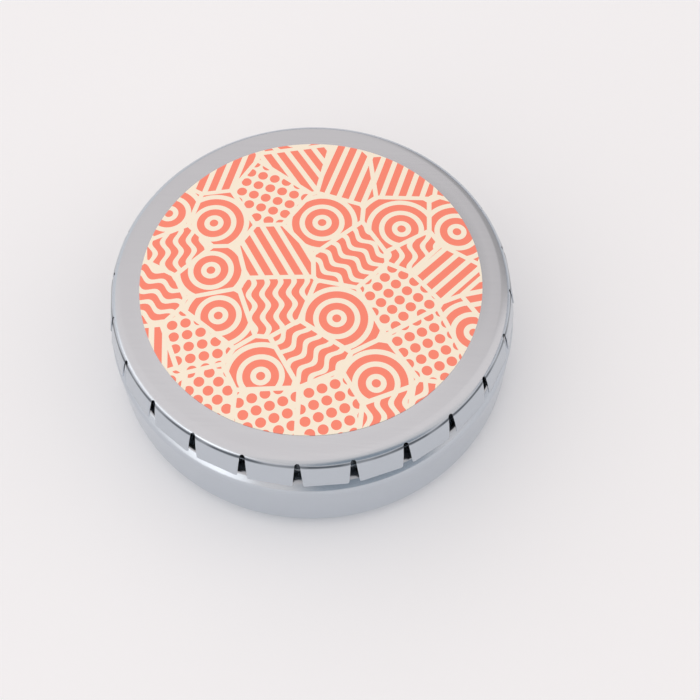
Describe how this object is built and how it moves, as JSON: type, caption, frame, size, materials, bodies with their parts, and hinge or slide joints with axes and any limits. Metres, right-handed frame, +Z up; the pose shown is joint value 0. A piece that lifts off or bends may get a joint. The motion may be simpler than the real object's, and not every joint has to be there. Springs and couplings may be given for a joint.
{
  "type": "mint tin",
  "caption": "Round tinplate mint tin with a domed lid: pressing the middle snaps it in and spreads the slotted skirt, so the lid lifts off.",
  "frame": {"origin": "on the tin's axis, in the plane of its foot ring, where it stands", "axes": "+Z up along the tin's axis, +X through one slot of the lid's skirt"},
  "size_m": [0.06, 0.06, 0.0206],
  "materials": {
    "tinplate": "satin bare tinplate",
    "label": "satin printed film, coral pattern on cream"
  },
  "bodies": {
    "base": {"tin_base": "tinplate"},
    "lid": {"lid_rim": "tinplate"},
    "lid_centre": {"lid_panel": "tinplate", "label_disc": "label"},
    "tab_01": {"lid_tab_01": "tinplate"},
    "tab_02": {"lid_tab_02": "tinplate"},
    "tab_03": {"lid_tab_03": "tinplate"},
    "tab_04": {"lid_tab_04": "tinplate"},
    "tab_05": {"lid_tab_05": "tinplate"},
    "tab_06": {"lid_tab_06": "tinplate"},
    "tab_07": {"lid_tab_07": "tinplate"},
    "tab_08": {"lid_tab_08": "tinplate"},
    "tab_09": {"lid_tab_09": "tinplate"},
    "tab_10": {"lid_tab_10": "tinplate"},
    "tab_11": {"lid_tab_11": "tinplate"},
    "tab_12": {"lid_tab_12": "tinplate"},
    "tab_13": {"lid_tab_13": "tinplate"},
    "tab_14": {"lid_tab_14": "tinplate"},
    "tab_15": {"lid_tab_15": "tinplate"},
    "tab_16": {"lid_tab_16": "tinplate"},
    "tab_17": {"lid_tab_17": "tinplate"},
    "tab_18": {"lid_tab_18": "tinplate"},
    "tab_19": {"lid_tab_19": "tinplate"},
    "tab_20": {"lid_tab_20": "tinplate"},
    "tab_21": {"lid_tab_21": "tinplate"},
    "tab_22": {"lid_tab_22": "tinplate"},
    "tab_23": {"lid_tab_23": "tinplate"},
    "tab_24": {"lid_tab_24": "tinplate"}
  },
  "joints": [
    {"name": "lid_lift", "type": "slide", "parent": "base", "child": "lid", "axis": [0, 0, 1], "range_m": [0, 0.04]},
    {"name": "panel_click", "type": "slide", "parent": "lid", "child": "lid_centre", "axis": [0, 0, -1], "range_m": [0, 0.0017]},
    {"name": "tab_01_flex", "type": "hinge", "parent": "lid", "child": "tab_01", "pos_m": [0.02851, 0.00375, 0.01874], "axis": [0.1305, -0.9914, 0], "range_deg": [0, 7.6]},
    {"name": "tab_02_flex", "type": "hinge", "parent": "lid", "child": "tab_02", "pos_m": [0.02657, 0.01101, 0.01874], "axis": [0.3827, -0.9239, 0], "range_deg": [0, 7.6]},
    {"name": "tab_03_flex", "type": "hinge", "parent": "lid", "child": "tab_03", "pos_m": [0.02282, 0.01751, 0.01874], "axis": [0.6088, -0.7934, 0], "range_deg": [0, 7.6]},
    {"name": "tab_04_flex", "type": "hinge", "parent": "lid", "child": "tab_04", "pos_m": [0.01751, 0.02282, 0.01874], "axis": [0.7934, -0.6088, 0], "range_deg": [0, 7.6]},
    {"name": "tab_05_flex", "type": "hinge", "parent": "lid", "child": "tab_05", "pos_m": [0.01101, 0.02657, 0.01874], "axis": [0.9239, -0.3827, 0], "range_deg": [0, 7.6]},
    {"name": "tab_06_flex", "type": "hinge", "parent": "lid", "child": "tab_06", "pos_m": [0.00375, 0.02851, 0.01874], "axis": [0.9914, -0.1305, 0], "range_deg": [0, 7.6]},
    {"name": "tab_07_flex", "type": "hinge", "parent": "lid", "child": "tab_07", "pos_m": [-0.00375, 0.02851, 0.01874], "axis": [0.9914, 0.1305, 0], "range_deg": [0, 7.6]},
    {"name": "tab_08_flex", "type": "hinge", "parent": "lid", "child": "tab_08", "pos_m": [-0.01101, 0.02657, 0.01874], "axis": [0.9239, 0.3827, 0], "range_deg": [0, 7.6]},
    {"name": "tab_09_flex", "type": "hinge", "parent": "lid", "child": "tab_09", "pos_m": [-0.01751, 0.02282, 0.01874], "axis": [0.7934, 0.6088, 0], "range_deg": [0, 7.6]},
    {"name": "tab_10_flex", "type": "hinge", "parent": "lid", "child": "tab_10", "pos_m": [-0.02282, 0.01751, 0.01874], "axis": [0.6088, 0.7934, 0], "range_deg": [0, 7.6]},
    {"name": "tab_11_flex", "type": "hinge", "parent": "lid", "child": "tab_11", "pos_m": [-0.02657, 0.01101, 0.01874], "axis": [0.3827, 0.9239, 0], "range_deg": [0, 7.6]},
    {"name": "tab_12_flex", "type": "hinge", "parent": "lid", "child": "tab_12", "pos_m": [-0.02851, 0.00375, 0.01874], "axis": [0.1305, 0.9914, 0], "range_deg": [0, 7.6]},
    {"name": "tab_13_flex", "type": "hinge", "parent": "lid", "child": "tab_13", "pos_m": [-0.02851, -0.00375, 0.01874], "axis": [-0.1305, 0.9914, 0], "range_deg": [0, 7.6]},
    {"name": "tab_14_flex", "type": "hinge", "parent": "lid", "child": "tab_14", "pos_m": [-0.02657, -0.01101, 0.01874], "axis": [-0.3827, 0.9239, 0], "range_deg": [0, 7.6]},
    {"name": "tab_15_flex", "type": "hinge", "parent": "lid", "child": "tab_15", "pos_m": [-0.02282, -0.01751, 0.01874], "axis": [-0.6088, 0.7934, 0], "range_deg": [0, 7.6]},
    {"name": "tab_16_flex", "type": "hinge", "parent": "lid", "child": "tab_16", "pos_m": [-0.01751, -0.02282, 0.01874], "axis": [-0.7934, 0.6088, 0], "range_deg": [0, 7.6]},
    {"name": "tab_17_flex", "type": "hinge", "parent": "lid", "child": "tab_17", "pos_m": [-0.01101, -0.02657, 0.01874], "axis": [-0.9239, 0.3827, 0], "range_deg": [0, 7.6]},
    {"name": "tab_18_flex", "type": "hinge", "parent": "lid", "child": "tab_18", "pos_m": [-0.00375, -0.02851, 0.01874], "axis": [-0.9914, 0.1305, 0], "range_deg": [0, 7.6]},
    {"name": "tab_19_flex", "type": "hinge", "parent": "lid", "child": "tab_19", "pos_m": [0.00375, -0.02851, 0.01874], "axis": [-0.9914, -0.1305, 0], "range_deg": [0, 7.6]},
    {"name": "tab_20_flex", "type": "hinge", "parent": "lid", "child": "tab_20", "pos_m": [0.01101, -0.02657, 0.01874], "axis": [-0.9239, -0.3827, 0], "range_deg": [0, 7.6]},
    {"name": "tab_21_flex", "type": "hinge", "parent": "lid", "child": "tab_21", "pos_m": [0.01751, -0.02282, 0.01874], "axis": [-0.7934, -0.6088, 0], "range_deg": [0, 7.6]},
    {"name": "tab_22_flex", "type": "hinge", "parent": "lid", "child": "tab_22", "pos_m": [0.02282, -0.01751, 0.01874], "axis": [-0.6088, -0.7934, 0], "range_deg": [0, 7.6]},
    {"name": "tab_23_flex", "type": "hinge", "parent": "lid", "child": "tab_23", "pos_m": [0.02657, -0.01101, 0.01874], "axis": [-0.3827, -0.9239, 0], "range_deg": [0, 7.6]},
    {"name": "tab_24_flex", "type": "hinge", "parent": "lid", "child": "tab_24", "pos_m": [0.02851, -0.00375, 0.01874], "axis": [-0.1305, -0.9914, 0], "range_deg": [0, 7.6]}
  ],
  "couplings": [
    {"joint": "tab_01_flex", "follows": "panel_click", "rad_per_m": 77},
    {"joint": "tab_02_flex", "follows": "panel_click", "rad_per_m": 77},
    {"joint": "tab_03_flex", "follows": "panel_click", "rad_per_m": 77},
    {"joint": "tab_04_flex", "follows": "panel_click", "rad_per_m": 77},
    {"joint": "tab_05_flex", "follows": "panel_click", "rad_per_m": 77},
    {"joint": "tab_06_flex", "follows": "panel_click", "rad_per_m": 77},
    {"joint": "tab_07_flex", "follows": "panel_click", "rad_per_m": 77},
    {"joint": "tab_08_flex", "follows": "panel_click", "rad_per_m": 77},
    {"joint": "tab_09_flex", "follows": "panel_click", "rad_per_m": 77},
    {"joint": "tab_10_flex", "follows": "panel_click", "rad_per_m": 77},
    {"joint": "tab_11_flex", "follows": "panel_click", "rad_per_m": 77},
    {"joint": "tab_12_flex", "follows": "panel_click", "rad_per_m": 77},
    {"joint": "tab_13_flex", "follows": "panel_click", "rad_per_m": 77},
    {"joint": "tab_14_flex", "follows": "panel_click", "rad_per_m": 77},
    {"joint": "tab_15_flex", "follows": "panel_click", "rad_per_m": 77},
    {"joint": "tab_16_flex", "follows": "panel_click", "rad_per_m": 77},
    {"joint": "tab_17_flex", "follows": "panel_click", "rad_per_m": 77},
    {"joint": "tab_18_flex", "follows": "panel_click", "rad_per_m": 77},
    {"joint": "tab_19_flex", "follows": "panel_click", "rad_per_m": 77},
    {"joint": "tab_20_flex", "follows": "panel_click", "rad_per_m": 77},
    {"joint": "tab_21_flex", "follows": "panel_click", "rad_per_m": 77},
    {"joint": "tab_22_flex", "follows": "panel_click", "rad_per_m": 77},
    {"joint": "tab_23_flex", "follows": "panel_click", "rad_per_m": 77},
    {"joint": "tab_24_flex", "follows": "panel_click", "rad_per_m": 77}
  ]
}
